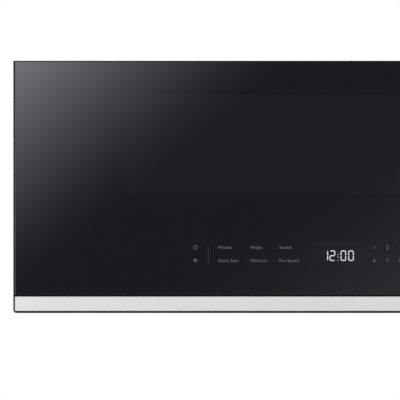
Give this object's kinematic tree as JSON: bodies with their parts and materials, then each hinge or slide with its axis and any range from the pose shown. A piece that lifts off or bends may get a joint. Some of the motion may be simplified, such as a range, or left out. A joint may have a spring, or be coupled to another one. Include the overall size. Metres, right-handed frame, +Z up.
{
  "type": "over the range microwave",
  "caption": "Low-profile microwave oven hung over a cooktop: full-width black glass door hinged at the left, turntable oven, vent blower, grease filters and top exhaust",
  "frame": {"origin": "middle of the underside of the case, halfway between the wall and the face of the door", "axes": "+X to the right seen from the front, +Y towards the wall, +Z up; the door faces -Y"},
  "size_m": [0.759, 0.46, 0.279],
  "materials": {
    "air_guide": "moulded duct",
    "back_panel": "zinc-coated sheet",
    "base_pan": "black enamel sheet",
    "blower_housing": "moulded scroll housing",
    "capacitor": "aluminium can",
    "case_screws": "zinc-plated",
    "cavity": "light grey oven enamel",
    "charcoal_filter": "charcoal pad in a plastic tray",
    "choke_cover": "black moulding",
    "choke_panel": "black enamel with perforated window",
    "cooktop_bulbs": "frosted glass",
    "cooling_fan_blade": "moulded fan",
    "cooling_fan_frame": "moulded frame on a steel bracket",
    "cord_grommet": "black rubber",
    "damper_flap": "zinc-coated sheet",
    "display_module": "display block",
    "door_frame": "black moulding",
    "door_glass": "black-printed toughened glass",
    "drive_coupler": "heat-proof moulding",
    "exhaust_collar": "zinc-coated sheet",
    "front_plate": "dark grey enamel",
    "glass_tray": "pressed clear glass",
    "grease_filter_left": "aluminium frame and mesh",
    "grease_filter_right": "aluminium frame and mesh",
    "hinge_bushes": "acetal",
    "hinge_lower": "zinc-coated steel",
    "hinge_upper": "zinc-coated steel",
    "inner_window": "clear sheet",
    "interlock_switches": "black switch bodies",
    "lamp_cover_left": "frosted cover",
    "lamp_cover_right": "frosted cover",
    "lamp_housings": "bright reflector sheet",
    "latch_board": "white moulding",
    "latch_hooks": "acetal",
    "latch_spring": "spring wire",
    "magnetron": "steel yoke with aluminium fins",
    "mica_cover": "mica sheet",
    "noise_filter": "circuit board",
    "outer_case": "black powder coat, fine texture",
    "oven_lamp": "lamp housing with bulb",
    "plunger_lower": "acetal",
    "plunger_upper_left": "acetal",
    "plunger_upper_right": "acetal",
    "power_board": "circuit board",
    "roller_front": "heat-proof moulding",
    "roller_left": "heat-proof moulding",
    "roller_right": "heat-proof moulding",
    "roller_ring": "heat-proof moulding",
    "thermal_cutouts": "bimetal discs in steel caps",
    "touch_board": "circuit board",
    "transformer": "varnished laminations and copper windings",
    "trim_strip": "satin steel strip",
    "turntable_motor": "zinc-coated can",
    "vent_grille": "black moulding",
    "vent_motor": "steel motor case",
    "vent_shaft": "ground steel",
    "vent_wheel_left": "moulded blower wheel",
    "vent_wheel_right": "moulded blower wheel",
    "wall_plate": "zinc-coated plate",
    "waveguide": "zinc-coated sheet"
  },
  "bodies": {
    "case": {"air_guide": "air_guide", "back_panel": "back_panel", "base_pan": "base_pan", "blower_housing": "blower_housing", "capacitor": "capacitor", "case_screws": "case_screws", "cavity": "cavity", "charcoal_filter": "charcoal_filter", "cooktop_bulbs": "cooktop_bulbs", "cooling_fan_frame": "cooling_fan_frame", "cord_grommet": "cord_grommet", "exhaust_collar": "exhaust_collar", "front_plate": "front_plate", "hinge_lower": "hinge_lower", "hinge_upper": "hinge_upper", "interlock_switches": "interlock_switches", "lamp_housings": "lamp_housings", "latch_board": "latch_board", "magnetron": "magnetron", "mica_cover": "mica_cover", "noise_filter": "noise_filter", "outer_case": "outer_case", "oven_lamp": "oven_lamp", "power_board": "power_board", "thermal_cutouts": "thermal_cutouts", "transformer": "transformer", "turntable_motor": "turntable_motor", "vent_grille": "vent_grille", "vent_motor": "vent_motor", "wall_plate": "wall_plate", "waveguide": "waveguide"},
    "door": {"door_frame": "door_frame", "door_glass": "door_glass", "trim_strip": "trim_strip", "choke_panel": "choke_panel", "inner_window": "inner_window", "choke_cover": "choke_cover", "touch_board": "touch_board", "display_module": "display_module", "hinge_bushes": "hinge_bushes"},
    "latch": {"latch_hooks": "latch_hooks", "latch_spring": "latch_spring"},
    "turntable": {"drive_coupler": "drive_coupler", "glass_tray": "glass_tray"},
    "ring": {"roller_ring": "roller_ring"},
    "roller_f": {"roller_front": "roller_front"},
    "roller_r": {"roller_right": "roller_right"},
    "roller_l": {"roller_left": "roller_left"},
    "vent_blower": {"vent_wheel_left": "vent_wheel_left", "vent_wheel_right": "vent_wheel_right", "vent_shaft": "vent_shaft"},
    "cooling_fan": {"cooling_fan_blade": "cooling_fan_blade"},
    "damper": {"damper_flap": "damper_flap"},
    "filter_left": {"grease_filter_left": "grease_filter_left"},
    "filter_right": {"grease_filter_right": "grease_filter_right"},
    "light_cover_left": {"lamp_cover_left": "lamp_cover_left"},
    "light_cover_right": {"lamp_cover_right": "lamp_cover_right"},
    "switch_1": {"plunger_upper_left": "plunger_upper_left"},
    "switch_2": {"plunger_upper_right": "plunger_upper_right"},
    "switch_3": {"plunger_lower": "plunger_lower"}
  },
  "joints": [
    {"name": "door_hinge", "type": "hinge", "parent": "case", "child": "door", "pos_m": [-0.3695, -0.214, 0.139], "axis": [0, 0, -1], "range_deg": [0, 105]},
    {"name": "latch_lift", "type": "slide", "parent": "door", "child": "latch", "axis": [0, 0, 1], "range_m": [0, 0.004], "stiffness_N_per_m": 300, "springref_m": -0.003, "deforming": ["latch_spring"]},
    {"name": "turntable_spin", "type": "hinge", "parent": "case", "child": "turntable", "pos_m": [0, -0.032, 0.1], "axis": [0, 0, 1], "continuous": true},
    {"name": "ring_spin", "type": "hinge", "parent": "case", "child": "ring", "pos_m": [0, -0.032, 0.0915], "axis": [0, 0, 1], "continuous": true},
    {"name": "roller_front_spin", "type": "hinge", "parent": "ring", "child": "roller_f", "pos_m": [0, -0.142, 0.0915], "axis": [0, -1, 0], "continuous": true},
    {"name": "roller_right_spin", "type": "hinge", "parent": "ring", "child": "roller_r", "pos_m": [0.09526, 0.023, 0.0915], "axis": [0.866, 0.5, 0], "continuous": true},
    {"name": "roller_left_spin", "type": "hinge", "parent": "ring", "child": "roller_l", "pos_m": [-0.09526, 0.023, 0.0915], "axis": [-0.866, 0.5, 0], "continuous": true},
    {"name": "vent_blower_spin", "type": "hinge", "parent": "case", "child": "vent_blower", "pos_m": [0, 0.176, 0.104], "axis": [1, 0, 0], "continuous": true},
    {"name": "cooling_fan_spin", "type": "hinge", "parent": "case", "child": "cooling_fan", "pos_m": [0.3285, 0.168, 0.212], "axis": [0, -1, 0], "continuous": true},
    {"name": "damper_hinge", "type": "hinge", "parent": "case", "child": "damper", "pos_m": [0, 0.2128, 0.2736], "axis": [-1, 0, 0], "range_deg": [0, 80]},
    {"name": "filter_left_slide", "type": "slide", "parent": "case", "child": "filter_left", "axis": [-1, 0, 0], "range_m": [0, 0.008]},
    {"name": "filter_right_slide", "type": "slide", "parent": "case", "child": "filter_right", "axis": [1, 0, 0], "range_m": [0, 0.008]},
    {"name": "light_cover_left_hinge", "type": "hinge", "parent": "case", "child": "light_cover_left", "pos_m": [-0.19, -0.1621, 0.0024], "axis": [-1, 0, 0], "range_deg": [0, 80]},
    {"name": "light_cover_right_hinge", "type": "hinge", "parent": "case", "child": "light_cover_right", "pos_m": [0.19, -0.1621, 0.0024], "axis": [-1, 0, 0], "range_deg": [0, 80]},
    {"name": "switch_1_press", "type": "slide", "parent": "case", "child": "switch_1", "axis": [0, 1, 0], "range_m": [0, 0.001], "stiffness_N_per_m": 200, "springref_m": -0.001},
    {"name": "switch_2_press", "type": "slide", "parent": "case", "child": "switch_2", "axis": [0, 1, 0], "range_m": [0, 0.001], "stiffness_N_per_m": 200, "springref_m": -0.001},
    {"name": "switch_3_press", "type": "slide", "parent": "case", "child": "switch_3", "axis": [0, 1, 0], "range_m": [0, 0.001], "stiffness_N_per_m": 200, "springref_m": -0.001}
  ],
  "couplings": [
    {"joint": "ring_spin", "follows": "turntable_spin", "ratio": 0.5},
    {"joint": "roller_front_spin", "follows": "turntable_spin", "ratio": -7.6389},
    {"joint": "roller_right_spin", "follows": "turntable_spin", "ratio": -7.6389},
    {"joint": "roller_left_spin", "follows": "turntable_spin", "ratio": -7.6389}
  ]
}
